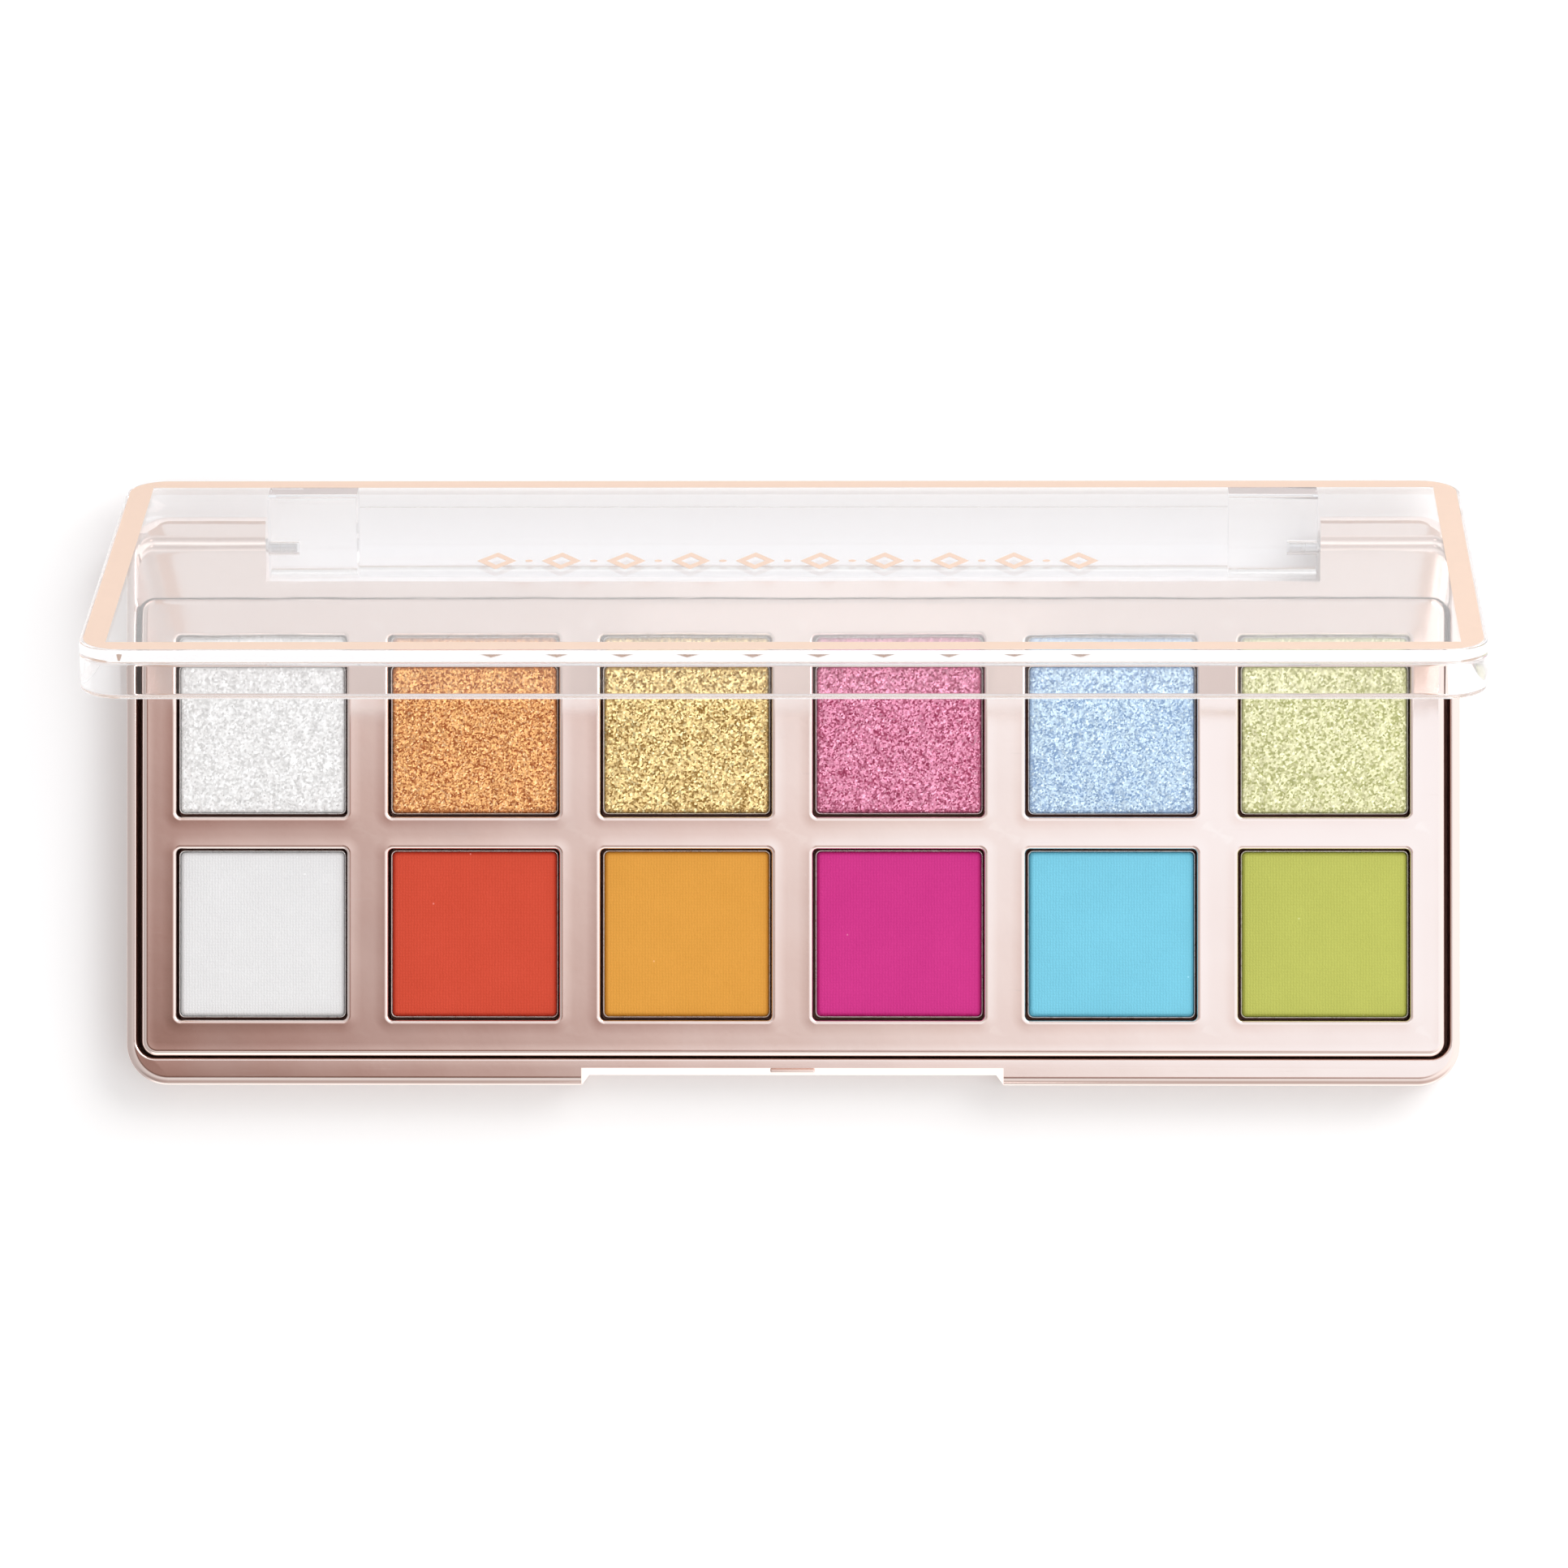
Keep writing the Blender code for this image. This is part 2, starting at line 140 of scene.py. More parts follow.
# Lid
LID_RIM_Z = 6.7 * MM
LID_TOP_Z = 12.6 * MM
LID_PLATE = 1.8 * MM
LID_SIDE_WALL = 1.2 * MM
LID_FRONT_WALL = 2.2 * MM
LID_INNER_CORNER = 3.9 * MM
LID_CEILING_FILLET = 0.6 * MM
LID_EDGE_ROUND = 0.12 * MM
LID_FILLET = 0.45 * MM
LID_RIM_FILLET = 0.4 * MM
LID_DRAFT = 0.17 * MM
BARREL = 4.0 * MM
SKIRT_HALF = 63.3 * MM
SKIRT_WALL = 1.5 * MM
KNUCKLE_WIDTH = 10.7 * MM
KNUCKLE_FRONT_Y = 27.2 * MM
BORE_RADIUS = 0.92 * MM
BORE_INNER_X = 59.7 * MM
BORE_OUTER_X = 68.3 * MM

# Print on the lid
PRINT_THICKNESS = 0.02 * MM
PRINT_Z = LID_TOP_Z + 0.002 * MM
BORDER_INSET = 0.5 * MM
BORDER_WIDTH = 2.7 * MM
BORDER_HOLE_CORNER = 0.05 * MM
ORNAMENTS = 10
ORNAMENT_PITCH = 7.6 * MM
ORNAMENT_Y = 0.7 * MM
LOZENGE = (4.6 * MM, 6.6 * MM)
PIERCING = 0.5  # of the lozenge's size
DOT = 0.9 * MM

SEED = 1  # of the pans' drift; without one it would follow the clock
SPARE = 1.0 * MM  # how far a cutter runs past what it cuts
SHARP_ANGLE = 40.0  # degrees, from which an edge stays sharp or is rounded


# ---------------------------------------------------------------- mesh tools


def outline(x, y, corner, inset=0.0, segments=12):
    """Points of a rounded rectangle between (low, high) bounds, anticlockwise, moved in by inset."""
    radius = max(corner - inset, 0.01 * MM)
    left, right, front, back = x[0] + inset, x[1] - inset, y[0] + inset, y[1] - inset
    corners = ((right, front, -90), (right, back, 0), (left, back, 90), (left, front, 180))
    points = []
    for cx, cy, start in corners:
        px = cx - math.copysign(radius, cx - (left + right) / 2)
        py = cy - math.copysign(radius, cy - (front + back) / 2)
        for i in range(segments + 1):
            angle = math.radians(start + 90 * i / segments)
            points.append((px + radius * math.cos(angle), py + radius * math.sin(angle)))
    return points


def quarter_round(radius, height, steps, upward=True):
    """(inset, z) levels of a rounded rim that ends at the given height."""
    levels = []
    for i in range(steps + 1):
        angle = math.pi / 2 * i / steps
        rise = radius * (1 - math.sin(angle))
        inset = radius * (1 - math.cos(angle))
        levels.append((inset, height - rise if upward else height + rise))
    return levels if upward else levels[::-1]


def add_loop(bm, points, z):
    return [bm.verts.new((px, py, z)) for px, py in points]


def join_loops(bm, loops):
    """Quads between successive loops of the same length."""
    for lower, upper in zip(loops, loops[1:]):
        for i in range(len(lower)):
            j = (i + 1) % len(lower)
            bm.faces.new((lower[i], lower[j], upper[j], upper[i]))


def loft(x, y, corner, levels, segments=12):
    """A closed solid through the rounded rectangle at each (inset, z) level, bottom to top."""
    bm = bmesh.new()
    loops = [add_loop(bm, outline(x, y, corner, inset, segments), z) for inset, z in levels]
    join_loops(bm, loops)
    bm.faces.new(loops[0][::-1])
    bm.faces.new(loops[-1])
    return bm


def box_bmesh(x, y, z):
    bm = bmesh.new()
    size = [high - low for low, high in (x, y, z)]
    centre = [(high + low) / 2 for low, high in (x, y, z)]
    bmesh.ops.create_cube(bm, size=1.0, matrix=Matrix.Translation(centre) @ Matrix.Diagonal((*size, 1.0)))
    return bm


def arc(centre_u, centre_v, radius, start, end, steps):
    """Points of an arc in a plane, with its angles in degrees anticlockwise from the first axis."""
    for i in range(steps + 1):
        angle = math.radians(start + (end - start) * i / steps)
        yield centre_u + radius * math.cos(angle), centre_v + radius * math.sin(angle)


def extruded_profile(points, x):
    """A solid of the closed (y, z) outline drawn out along X between the (low, high) bounds."""
    bm = bmesh.new()
    ends = [[bm.verts.new((across, py, pz)) for py, pz in points] for across in x]
    join_loops(bm, ends)
    bm.faces.new(ends[0][::-1])
    bm.faces.new(ends[1])
    bmesh.ops.recalc_face_normals(bm, faces=bm.faces)
    return bm


def x_cylinder(radius, x):
    """A closed cylinder along the hinge axis."""
    bm = bmesh.new()
    middle = Matrix.Translation(((x[0] + x[1]) / 2, HINGE_AT.y, HINGE_AT.z))
    place = middle @ Matrix.Rotation(math.pi / 2, 4, "Y")
    depth = x[1] - x[0]
    bmesh.ops.create_cone(
        bm, cap_ends=True, segments=48, radius1=radius, radius2=radius, depth=depth, matrix=place
    )
    return bm


def make_object(bm, name):
    mesh = bpy.data.meshes.new(name)
    bm.to_mesh(mesh)
    bm.free()
    made = bpy.data.objects.new(name, mesh)
    bpy.context.scene.collection.objects.link(made)
    return made


def combine(target, tool, operation):
    """Applies one boolean to target with a throwaway tool object."""
    modifier = target.modifiers.new("combine", "BOOLEAN")
    modifier.operation = operation
    modifier.solver = "EXACT"
    modifier.object = tool
    apply_modifiers(target)
    bpy.data.objects.remove(tool, do_unlink=True)
    return target


def apply_modifiers(target):
    bpy.context.view_layer.update()
    evaluated = target.evaluated_get(bpy.context.evaluated_depsgraph_get())
    mesh = bpy.data.meshes.new_from_object(evaluated)
    target.modifiers.clear()
    target.data = mesh


def cut(target, bm):
    return combine(target, make_object(bm, "tool"), "DIFFERENCE")


def unite(target, bm):
    return combine(target, make_object(bm, "tool"), "UNION")


def finish_edges(target, width=0.0):
    """Smooth shading that keeps flat faces flat, after a small round on the edges that are still sharp."""
    sharp = math.radians(SHARP_ANGLE)
    if width > 0.0:
        bevel = target.modifiers.new("edge_round", "BEVEL")
        bevel.width = width
        bevel.segments = 3
        bevel.limit_method = "ANGLE"
        bevel.angle_limit = sharp
    target.data.shade_smooth()
    target.data.set_sharp_from_angle(angle=sharp)
    normals = target.modifiers.new("flat_faces", "WEIGHTED_NORMAL")
    normals.keep_sharp = True
    normals.weight = 80
    return target


def span(centre, size):
    return (centre - size / 2, centre + size / 2)


def pan_places():
    """Row, column, x and y of each pan, back row first and left to right."""
    for row, y in enumerate(ROW_Y):
        for column in range(COLUMNS):
            yield row, column, (column - (COLUMNS - 1) / 2) * COLUMN_PITCH, y


def loose(row, column):
    """How far a hand-set pan sits from the middle of its well."""
    drift = noise.noise_vector(Vector((row * 7.1 + 0.5, column * 3.7 + 0.5, 2.5)))
    return (0.07 + 0.05 * drift.x) * MM, (0.06 + 0.05 * drift.y) * MM


def pan_node(kind, row, column):
    return f"{kind}_{ROWS[row]}_{column + 1}"


# ---------------------------------------------------------------- node tools


def new_material(name):
    material = bpy.data.materials.new(name)
    material.use_nodes = True
    tree = material.node_tree
    return material, tree, tree.nodes["Principled BSDF"]


def node(tree, kind, inputs=None, **settings):
    """Adds a node, sets its properties, and sets or links its inputs by name or index."""
    made = tree.nodes.new(kind)
    for key, value in settings.items():
        setattr(made, key, value)
    for key, value in (inputs or {}).items():
        if isinstance(value, bpy.types.NodeSocket):
            tree.links.new(value, made.inputs[key])
        else:
            made.inputs[key].default_value = value
    return made


def maths(tree, operation, *values):
    return node(tree, "ShaderNodeMath", dict(enumerate(values)), operation=operation).outputs[0]


def vector_maths(tree, operation, inputs):
    return node(tree, "ShaderNodeVectorMath", inputs, operation=operation).outputs[0]


def ramp(tree, factor, low, high, start=0.0, end=1.0, smooth=False):
    """A linear or smooth step from low to high as factor goes from start to end."""
    kind = "SMOOTHSTEP" if smooth else "LINEAR"
    inputs = {"Value": factor, "From Min": start, "From Max": end, "To Min": low, "To Max": high}
    return node(tree, "ShaderNodeMapRange", inputs, interpolation_type=kind).outputs["Result"]


def mix_colour(tree, factor, first, second):
    made = node(tree, "ShaderNodeMix", {0: factor}, data_type="RGBA")
    for index, value in ((6, first), (7, second)):
        if isinstance(value, bpy.types.NodeSocket):
            tree.links.new(value, made.inputs[index])
        else:
            made.inputs[index].default_value = (*value, 1.0)
    return made.outputs[2]


def weighted_sum(tree, *terms):
    """The sum of (value, weight) terms."""
    total = None
    for value, weight in terms:
        term = maths(tree, "MULTIPLY", value, weight)
        total = term if total is None else maths(tree, "ADD", total, term)
    return total


def object_place(tree):
    return node(tree, "ShaderNodeTexCoord").outputs["Object"]


def object_noise(tree, scale, detail=3.0, roughness=0.5, distortion=0.0):
    """The grey of a noise in the piece's own coordinates, with its scale in lumps per metre."""
    inputs = {"Vector": object_place(tree), "Scale": scale, "Detail": detail}
    inputs.update({"Roughness": roughness, "Distortion": distortion})
    return node(tree, "ShaderNodeTexNoise", inputs).outputs["Fac"]


def streaks(tree, scale):
    """The grey of a noise that is drawn out where the (x, y, z) scale is small."""
    stretched = node(tree, "ShaderNodeMapping", {"Vector": object_place(tree), "Scale": scale})
    inputs = {"Vector": stretched.outputs[0], "Scale": 1.0, "Detail": 2.0}
    return node(tree, "ShaderNodeTexNoise", inputs).outputs["Fac"]


def bump(tree, height, distance, strength=1.0, normal=None):
    inputs = {"Height": height, "Distance": distance, "Strength": strength}
    if normal is not None:
        inputs["Normal"] = normal
    return node(tree, "ShaderNodeBump", inputs).outputs["Normal"]


# ---------------------------------------------------------------- materials


def rose_gold_material():
    """Metallised plastic: a soft gloss with slight orange peel, hairline rubs and paler colour on sharp
    convex edges.
    """
    material, tree, shader = new_material("rose_gold")
    cloud = object_noise(tree, 90.0, detail=4.0)
    peel = object_noise(tree, 700.0, detail=2.0)
    flow = object_noise(tree, 70.0, detail=1.0)
    hairline = ramp(tree, streaks(tree, (120.0, 4200.0, 4200.0)), 0.0, 0.06, 0.68, 0.78)
    base = ramp(tree, cloud, 0.07, 0.12, 0.3, 0.7)
    tree.links.new(maths(tree, "ADD", base, hairline), shader.inputs["Roughness"])
    edge = ramp(tree, node(tree, "ShaderNodeNewGeometry").outputs["Pointiness"], 0.0, 0.35, 0.53, 0.62)
    colour = mix_colour(tree, cloud, (0.89, 0.745, 0.695), (0.91, 0.775, 0.725))
    tree.links.new(mix_colour(tree, edge, colour, (0.95, 0.84, 0.79)), shader.inputs["Base Color"])
    uneven = bump(tree, flow, 0.03 * MM)
    tree.links.new(bump(tree, peel, 0.001 * MM, normal=uneven), shader.inputs["Normal"])
    shader.inputs["Metallic"].default_value = 1.0
    return material


def painted_gap_shade_material():
    """Painted shade for the walls deep in a gap: a dark brown copy of the rose gold that stands in for the
    shade there.
    """
    material, tree, shader = new_material("rose_gold_painted_shade")
    cloud = object_noise(tree, 300.0, detail=3.0)
    colour = mix_colour(tree, cloud, (0.24, 0.11, 0.08), (0.36, 0.18, 0.14))
    tree.links.new(colour, shader.inputs["Base Color"])
    tree.links.new(ramp(tree, cloud, 0.3, 0.5), shader.inputs["Roughness"])
    tree.links.new(bump(tree, cloud, 0.01 * MM), shader.inputs["Normal"])
    shader.inputs["Metallic"].default_value = 0.7
    return material


def tinplate_material():
    """Bare pressed metal of the pans, with faint drawing lines."""
    material, tree, shader = new_material("tinplate")
    grain = object_noise(tree, 1500.0, detail=3.0)
    tree.links.new(ramp(tree, grain, 0.22, 0.4, 0.3, 0.7), shader.inputs["Roughness"])
    colour = mix_colour(tree, grain, (0.62, 0.61, 0.60), (0.82, 0.81, 0.80))
    tree.links.new(colour, shader.inputs["Base Color"])
    tree.links.new(bump(tree, grain, 0.006 * MM), shader.inputs["Normal"])
    shader.inputs["Metallic"].default_value = 1.0
    return material


def steel_material():
    """Drawn wire of the hinge pins, with fine lines round it."""
    material, tree, shader = new_material("pin_steel")
    lines = streaks(tree, (6000.0, 300.0, 300.0))
    tree.links.new(ramp(tree, lines, 0.2, 0.4), shader.inputs["Roughness"])
    tree.links.new(bump(tree, lines, 0.004 * MM), shader.inputs["Normal"])
    shader.inputs["Base Color"].default_value = (0.60, 0.60, 0.61, 1.0)
    shader.inputs["Metallic"].default_value = 1.0
    return material


def glue_material():
    """Set white glue, a little lumpy."""
    material, tree, shader = new_material("glue")
    cloud = object_noise(tree, 400.0)
    colour = mix_colour(tree, cloud, (0.80, 0.77, 0.66), (0.90, 0.88, 0.80))
    tree.links.new(colour, shader.inputs["Base Color"])
    tree.links.new(bump(tree, cloud, 0.05 * MM), shader.inputs["Normal"])
    shader.inputs["Roughness"].default_value = 0.4
    return material


def clear_plastic_material():
    """Polished clear moulding. Lamp, scattered and long-trapped rays pass straight through it."""
    material, tree, shader = new_material("clear_plastic")
    flow = object_noise(tree, 45.0, detail=1.0, distortion=0.6)
    rubs = streaks(tree, (300.0, 2600.0, 2600.0))
    tree.links.new(ramp(tree, rubs, 0.015, 0.06, 0.55, 0.8), shader.inputs["Roughness"])
    tree.links.new(bump(tree, flow, 0.02 * MM), shader.inputs["Normal"])
    shader.inputs["Base Color"].default_value = (1.0, 1.0, 1.0, 1.0)
    shader.inputs["Transmission Weight"].default_value = 1.0
    shader.inputs["IOR"].default_value = 1.53
    passing = node(tree, "ShaderNodeBsdfTransparent", {"Color": (0.955, 0.96, 0.97, 1.0)})
    path = node(tree, "ShaderNodeLightPath").outputs
    trapped = maths(tree, "GREATER_THAN", path["Ray Depth"], 3.5)
    scattered = maths(tree, "MAXIMUM", path["Is Diffuse Ray"], trapped)
    straight = maths(tree, "MAXIMUM", path["Is Shadow Ray"], scattered)
    both = node(tree, "ShaderNodeMixShader", {0: straight, 1: shader.outputs[0], 2: passing.outputs[0]})
    tree.links.new(both.outputs[0], tree.nodes["Material Output"].inputs["Surface"])
    return material


def print_material():
    """Peach screen ink, a little uneven in thickness."""
    material, tree, shader = new_material("lid_print")
    cloud = object_noise(tree, 500.0, detail=4.0)
    colour = mix_colour(tree, cloud, (0.73, 0.53, 0.41), (0.78, 0.58, 0.46))
    tree.links.new(colour, shader.inputs["Base Color"])
    tree.links.new(ramp(tree, cloud, 0.35, 0.5), shader.inputs["Roughness"])
    tree.links.new(bump(tree, cloud, 0.004 * MM), shader.inputs["Normal"])
    return material


def rim_band(tree, at):
    """One along the rim of the cake centred at (x, y), where it is coloured darker, and nought inside."""
    split = node(tree, "ShaderNodeSeparateXYZ", {0: object_place(tree)}).outputs
    reach = [maths(tree, "ABSOLUTE", maths(tree, "SUBTRACT", split[axis], at[axis])) for axis in (0, 1)]
    start, whole = (POWDER / 2 - inset for inset in POWDER_BAND)
    return ramp(tree, maths(tree, "MAXIMUM", *reach), 0.0, 1.0, start, whole, smooth=True)


def shifted(colour, gain, offset=0.0):
    return tuple(min(1.0, gain * c + offset) for c in colour)


def matte_material(name, colour, at):
    """Matte pressed powder: a fine cloth print from the press, mottling and a few paler specks."""
    material, tree, shader = new_material(name)
    where = object_place(tree)
    thread = {"Vector": where, "Scale": 900.0, "Distortion": 2.4, "Detail": 2.0, "Detail Scale": 1.5}
    warp, weft = (node(tree, "ShaderNodeTexWave", thread, bands_direction=way).outputs["Fac"] for way in "XY")
    weave = maths(tree, "MULTIPLY", warp, maths(tree, "ADD", weft, 0.6))
    grain = object_noise(tree, 5200.0, detail=2.0)
    wobble = object_noise(tree, 250.0, detail=2.0)
    mottled = weighted_sum(tree, (weave, 0.22), (grain, 0.55), (wobble, 0.35))
    shade = ramp(tree, mottled, 0.0, 1.0, 0.2, 1.1)
    inner = mix_colour(tree, shade, shifted(colour, 0.88), shifted(colour, 1.07, 0.012))
    rim_colour = tuple(0.86 * c**1.12 for c in colour)
    body = mix_colour(tree, rim_band(tree, at), inner, rim_colour)
    specks = node(tree, "ShaderNodeTexVoronoi", {"Vector": where, "Scale": 900.0})
    rare = node(tree, "ShaderNodeSeparateColor", {0: specks.outputs["Color"]}).outputs[0]
    near = maths(tree, "LESS_THAN", specks.outputs["Distance"], 0.1)
    speck = maths(tree, "MULTIPLY", near, maths(tree, "GREATER_THAN", rare, 0.965))
    tree.links.new(mix_colour(tree, speck, body, shifted(colour, 1.0, 0.14)), shader.inputs["Base Color"])
    height = maths(tree, "ADD", maths(tree, "MULTIPLY", weave, 0.35), grain)
    tree.links.new(bump(tree, height, 0.045 * MM, 0.7), shader.inputs["Normal"])
    shader.inputs["Roughness"].default_value = 0.9
    shader.inputs["Specular IOR Level"].default_value = 0.2
    return material


def shimmer_material(name, dark, pale, grain, tilt, metal, at):
    """Pearl powder: flat flakes that each lean their own way, over a darker binder, with painted glints on a
    few of them.
    """
    material, tree, shader = new_material(name)
    flakes = node(tree, "ShaderNodeTexVoronoi", {"Vector": object_place(tree), "Scale": 1.0 / grain})
    own = node(tree, "ShaderNodeSeparateColor", {0: flakes.outputs["Color"]})
    patches = object_noise(tree, 420.0, detail=4.0, roughness=0.65)
    amount = weighted_sum(tree, (own.outputs[0], 0.75), (patches, 0.6))
    shade = ramp(tree, amount, 0.0, 1.0, 0.25, 0.95, smooth=True)
    rim_colour = tuple(0.65 * d + 0.3 * p for d, p in zip(dark, pale))
    body = mix_colour(tree, rim_band(tree, at), mix_colour(tree, shade, dark, pale), rim_colour)
    # Painted glints: the flakes with the highest green are painted near white, standing in for their sparkle.
    painted_glint = maths(tree, "MULTIPLY", maths(tree, "GREATER_THAN", own.outputs[1], 0.88), 0.7)
    with_painted_glints = mix_colour(tree, painted_glint, body, shifted(pale, 1.05, 0.16))
    tree.links.new(with_painted_glints, shader.inputs["Base Color"])
    centred = vector_maths(tree, "SUBTRACT", {0: flakes.outputs["Color"], 1: (0.5, 0.5, 0.5)})
    lean = vector_maths(tree, "SCALE", {0: centred, "Scale": tilt})
    surface = node(tree, "ShaderNodeNewGeometry").outputs["Normal"]
    facing = vector_maths(tree, "NORMALIZE", {0: vector_maths(tree, "ADD", {0: surface, 1: lean})})
    fine = object_noise(tree, 2600.0, detail=3.0)
    tree.links.new(bump(tree, fine, 0.03 * MM, 0.6, facing), shader.inputs["Normal"])
    tree.links.new(ramp(tree, own.outputs[1], 0.25, 0.55), shader.inputs["Roughness"])
    tree.links.new(ramp(tree, own.outputs[2], metal * 0.5, metal), shader.inputs["Metallic"])
    return material


# ---------------------------------------------------------------- base and tray


def mark_painted_shade(piece, gets_painted_shade):
    """Puts the second material, the painted shade, on the faces picked by their centre and normal."""
    for polygon in piece.data.polygons:
        polygon.material_index = 1 if gets_painted_shade(polygon.center, polygon.normal) else 0
    return piece


def in_pocket(centre, _):
    """Walls and floor of the pocket that the tray drops into, below its rounded rim, which get the painted
    shade.
    """
    slack = 0.02 * MM
    within_x = abs(centre.x) < HALF_W - SIDE_LAND + slack
    within_y = FRONT_LAND - HALF_D - slack < centre.y < tray_high.y + POCKET_BACK_GAP + slack
    return within_x and within_y and FLOOR - slack < centre.z < LAND_Z - INNER_FILLET - slack


def in_well(centre, normal):
    """Walls and floors of the tray below the rounded edges of its deck, which get the painted shade."""
    return abs(normal.z) < 0.05 or centre.z < WELL_FLOOR_Z + 0.02 * MM


def turned_nose(side):
    """A closed solid turned about the hinge axis, just inside the sweep of the lid's inner rear corner."""
    corner_x = HALF_W - LID_SIDE_WALL - LID_INNER_CORNER
    corner_y = HALF_D - LID_SIDE_WALL - LID_INNER_CORNER
    rim_height = LID_RIM_Z - HINGE_AT.z
    profile = [(HALF_W + 2 * SPARE, rim_height - SWING_GAP)]
    for across, along in arc(corner_x, corner_y, LID_INNER_CORNER, 0.0, 90.0, 16):
        behind_axis = max(along - HINGE_AT.y, 0.0)
        profile.append((across, math.hypot(behind_axis, rim_height) - SWING_GAP))
    profile.append((CUTOUT_HALF - 2 * SPARE, profile[-1][1]))
    steps = 96
    bm = bmesh.new()
    loops = []
    for across, radius in profile:
        turn = arc(HINGE_AT.y, HINGE_AT.z, radius, 0.0, 360.0 - 360.0 / steps, steps - 1)
        loops.append([bm.verts.new((side * across, py, pz)) for py, pz in turn])
    join_loops(bm, loops)
    bm.faces.new(loops[0])
    bm.faces.new(loops[-1][::-1])
    bmesh.ops.recalc_face_normals(bm, faces=bm.faces)
    return bm


def pocket_levels(floor):
    """Levels of a pocket's cutter, which flares out over the rounded rim of the land."""
    flare = [(-inset, z) for inset, z in quarter_round(INNER_FILLET, LAND_Z, 5)]
    return [(0.0, floor), *flare, (-INNER_FILLET, LAND_Z + SPARE)]


def shelf_recess():
    """Cutter of the recess behind the tray, whose rear wall slopes up to the rim."""
    bm = bmesh.new()
    x = (-HALF_W + SIDE_LAND, HALF_W - SIDE_LAND)
    front = tray_high.y - 2 * SPARE
    loops = []
    for inset, z in pocket_levels(SHELF_Z):
        back = SHELF_END_Y - SHELF_SLOPE * max(LAND_Z - z, 0.0) / (LAND_Z - SHELF_Z)
        loops.append(add_loop(bm, outline(x, (front, back), POCKET_CORNER, inset), z))
    join_loops(bm, loops)
    bm.faces.new(loops[0][::-1])
    bm.faces.new(loops[-1])
    return bm


def thumb_notch():
    """Cutter of the notch in the front wall, whose ends slant."""
    front = -HALF_D
    slant = NOTCH_END / NOTCH_DEPTH
    bm = box_bmesh((-NOTCH_HALF, NOTCH_HALF), (front - SPARE, front + NOTCH_DEPTH), (-SPARE, LAND_Z + SPARE))
    for vert in bm.verts:
        vert.co.x = math.copysign(NOTCH_HALF - slant * (vert.co.y - front), vert.co.x)
    return bm


def ledge_profile():
    """The (y, z) outline cut away over the notch, which leaves a ledge that slopes to the front."""
    front = -HALF_D
    fall = (LEDGE_DEPTH + SPARE) * math.tan(math.radians(LEDGE_SLOPE))
    high = LEDGE_Z + LEDGE_LIFT
    return [
        (front - SPARE, high - fall),
        (front + LEDGE_DEPTH, high),
        (front + LEDGE_DEPTH, LAND_Z + SPARE),
        (front - SPARE, LAND_Z + SPARE),
    ]


def rolled_edge():
    """(inset, z) levels of the outer edge: a small round, then a soft roll up to the land."""
    slope = math.radians(ROLL_SLOPE)
    edge_inset = OUTER_FILLET * (1 - math.sin(slope))
    edge_z = LAND_Z - OUTER_ROLL * (1 - math.cos(slope))
    levels = []
    for i in range(5):
        angle = (math.pi / 2 - slope) * i / 4
        inset = OUTER_FILLET * (1 - math.cos(angle))
        levels.append((inset, edge_z - OUTER_FILLET * (math.cos(slope) - math.sin(angle))))
    for i in range(1, 9):
        angle = slope * (1 - i / 8)
        across = OUTER_ROLL * (math.sin(slope) - math.sin(angle))
        levels.append((edge_inset + across, LAND_Z - OUTER_ROLL * (1 - math.cos(angle))))
    return levels


def base_shell():
    """The moulded base: floor, lands, pocket, shelf, thumb notch, and room for the lid to swing."""
    x, y = (-HALF_W, HALF_W), (-HALF_D, HALF_D)
    levels = quarter_round(FOOT_FILLET, 0.0, 5, upward=False) + rolled_edge()
    shell = make_object(loft(x, y, CORNER, levels, segments=20), "base_shell_finish")
    pocket_x = (x[0] + SIDE_LAND, x[1] - SIDE_LAND)
    pocket_y = (y[0] + FRONT_LAND, tray_high.y + POCKET_BACK_GAP)
    cut(shell, loft(pocket_x, pocket_y, POCKET_CORNER, pocket_levels(FLOOR)))
    cut(shell, shelf_recess())
    cut(shell, box_bmesh((-CUTOUT_HALF, CUTOUT_HALF), (CUTOUT_Y, HALF_D + SPARE), (-SPARE, LAND_Z + SPARE)))
    cut(shell, thumb_notch())
    cut(shell, extruded_profile(ledge_profile(), (-NOTCH_HALF, NOTCH_HALF)))
    for side in (-1, 1):
        outer = sorted((side * (CUTOUT_HALF - SPARE), side * (HALF_W + SPARE)))
        swing = make_object(box_bmesh(outer, (HINGE_AT.y, HALF_D + SPARE), (-SPARE, LAND_Z + SPARE)), "swing")
        cut(swing, turned_nose(side))
        wider = (outer[0] - SPARE, outer[1] + SPARE)
        cut(swing, box_bmesh(wider, (HINGE_AT.y - SPARE, FOOT_END_Y), (-2 * SPARE, HINGE_AT.z)))
        combine(shell, swing, "DIFFERENCE")
        bore = sorted((side * (CUTOUT_HALF - SPARE), side * BORE_OUTER_X))
        cut(shell, x_cylinder(BORE_RADIUS, bore))
    return finish_edges(mark_painted_shade(shell, in_pocket), BASE_EDGE_ROUND)


def catch_nib():
    """The rounded bump that the lid's rim clicks past."""
    front = -HALF_D + NOTCH_DEPTH + NIB_SETBACK
    levels = [(0.0, LEDGE_Z - NIB_ROOT)] + quarter_round(NIB_ROUND, LEDGE_Z + NIB[2], 5)
    body = loft(span(0.0, NIB[0]), (front, front + NIB[1]), NIB_CORNER, levels, segments=6)
    return finish_edges(make_object(body, "catch_nib"))


def lip(distance, width, rise):
    """How far the deck has sunk, a little way in from an edge that the moulding left proud."""
    return rise * (1.0 - max(0.0, 1.0 - distance / width) ** 2)


